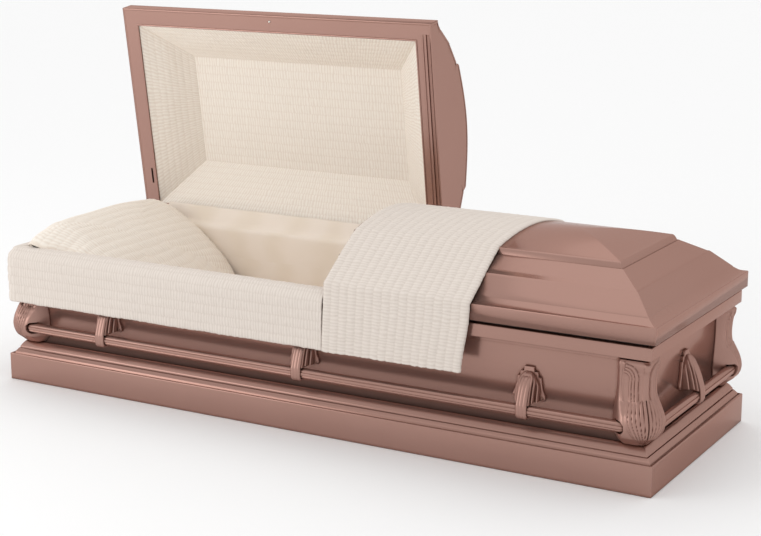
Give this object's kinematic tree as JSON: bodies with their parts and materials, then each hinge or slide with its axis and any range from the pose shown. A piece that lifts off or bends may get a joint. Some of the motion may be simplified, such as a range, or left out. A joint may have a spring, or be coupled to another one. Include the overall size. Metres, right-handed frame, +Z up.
{
  "type": "funeral casket",
  "caption": "Half-couch steel casket on a moulded base, with two hipped hinged lids, stationary bar handles and a crepe interior.",
  "frame": {"origin": "centre of the base's underside", "axes": "+X to the foot end, +Y to the hinged rear side, +Z up"},
  "size_m": [2.141, 0.8904, 1.1184],
  "materials": {
    "painted_steel": "satin dusty rose baked enamel on sheet steel",
    "painted_casting": "dusty rose enamel on cast ornament",
    "crepe": "cream crinkled crepe, stitched in channels",
    "plain_cloth": "cream plain-woven lining cloth",
    "gasket_rubber": "dark gasket rubber",
    "bright_steel": "bright nickel"
  },
  "bodies": {
    "casket": {"base_moulding": "painted_steel", "bottom_pan": "painted_steel", "body_panel_front": "painted_steel", "body_panel_foot_end": "painted_steel", "body_panel_rear": "painted_steel", "body_panel_head_end": "painted_steel", "lid_gasket": "gasket_rubber", "handle_bar_front": "painted_steel", "handle_bar_foot_end": "painted_steel", "handle_bar_rear": "painted_steel", "handle_bar_head_end": "painted_steel", "corner_casting_front_head": "painted_casting", "corner_casting_front_foot": "painted_casting", "corner_casting_rear_foot": "painted_casting", "corner_casting_rear_head": "painted_casting", "handle_arm_front_1": "painted_casting", "handle_arm_front_2": "painted_casting", "handle_arm_front_3": "painted_casting", "handle_arm_rear_1": "painted_casting", "handle_arm_rear_2": "painted_casting", "handle_arm_rear_3": "painted_casting", "handle_arm_foot_end": "painted_casting", "handle_arm_head_end": "painted_casting", "hinge_head_1_body_leaf": "painted_steel", "hinge_head_2_body_leaf": "painted_steel", "hinge_foot_1_body_leaf": "painted_steel", "hinge_foot_2_body_leaf": "painted_steel", "bed_deck": "painted_steel", "mattress": "plain_cloth", "wall_lining_front": "plain_cloth", "wall_lining_foot_end": "plain_cloth", "wall_lining_rear": "plain_cloth", "wall_lining_head_end": "plain_cloth", "pillow": "crepe", "apron": "crepe", "hinge_cover": "plain_cloth"},
    "head_lid": {"head_lid_shell": "painted_steel", "head_lid_end_panel": "painted_steel", "head_lid_frame": "painted_steel", "head_lid_seal_channel": "painted_steel", "head_lid_keeper": "bright_steel", "head_lid_gore_front": "crepe", "head_lid_gore_split": "crepe", "head_lid_gore_rear": "crepe", "head_lid_gore_head": "crepe", "head_lid_cap_panel": "crepe", "hinge_head_1_lid_leaf": "painted_steel", "hinge_head_2_lid_leaf": "painted_steel"},
    "foot_lid": {"foot_lid_shell": "painted_steel", "foot_lid_end_panel": "painted_steel", "foot_lid_frame": "painted_steel", "foot_lid_lining": "plain_cloth", "throw": "crepe", "hinge_foot_1_lid_leaf": "painted_steel", "hinge_foot_2_lid_leaf": "painted_steel"}
  },
  "joints": [
    {"name": "head_lid_hinge", "type": "hinge", "parent": "casket", "child": "head_lid", "pos_m": [0, 0.357, 0.3973], "axis": [-1, 0, 0], "range_deg": [-81.7, 0], "deforming": ["apron", "pillow", "hinge_cover"]},
    {"name": "foot_lid_hinge", "type": "hinge", "parent": "casket", "child": "foot_lid", "pos_m": [0, 0.357, 0.3973], "axis": [-1, 0, 0], "range_deg": [0, 80]}
  ]
}
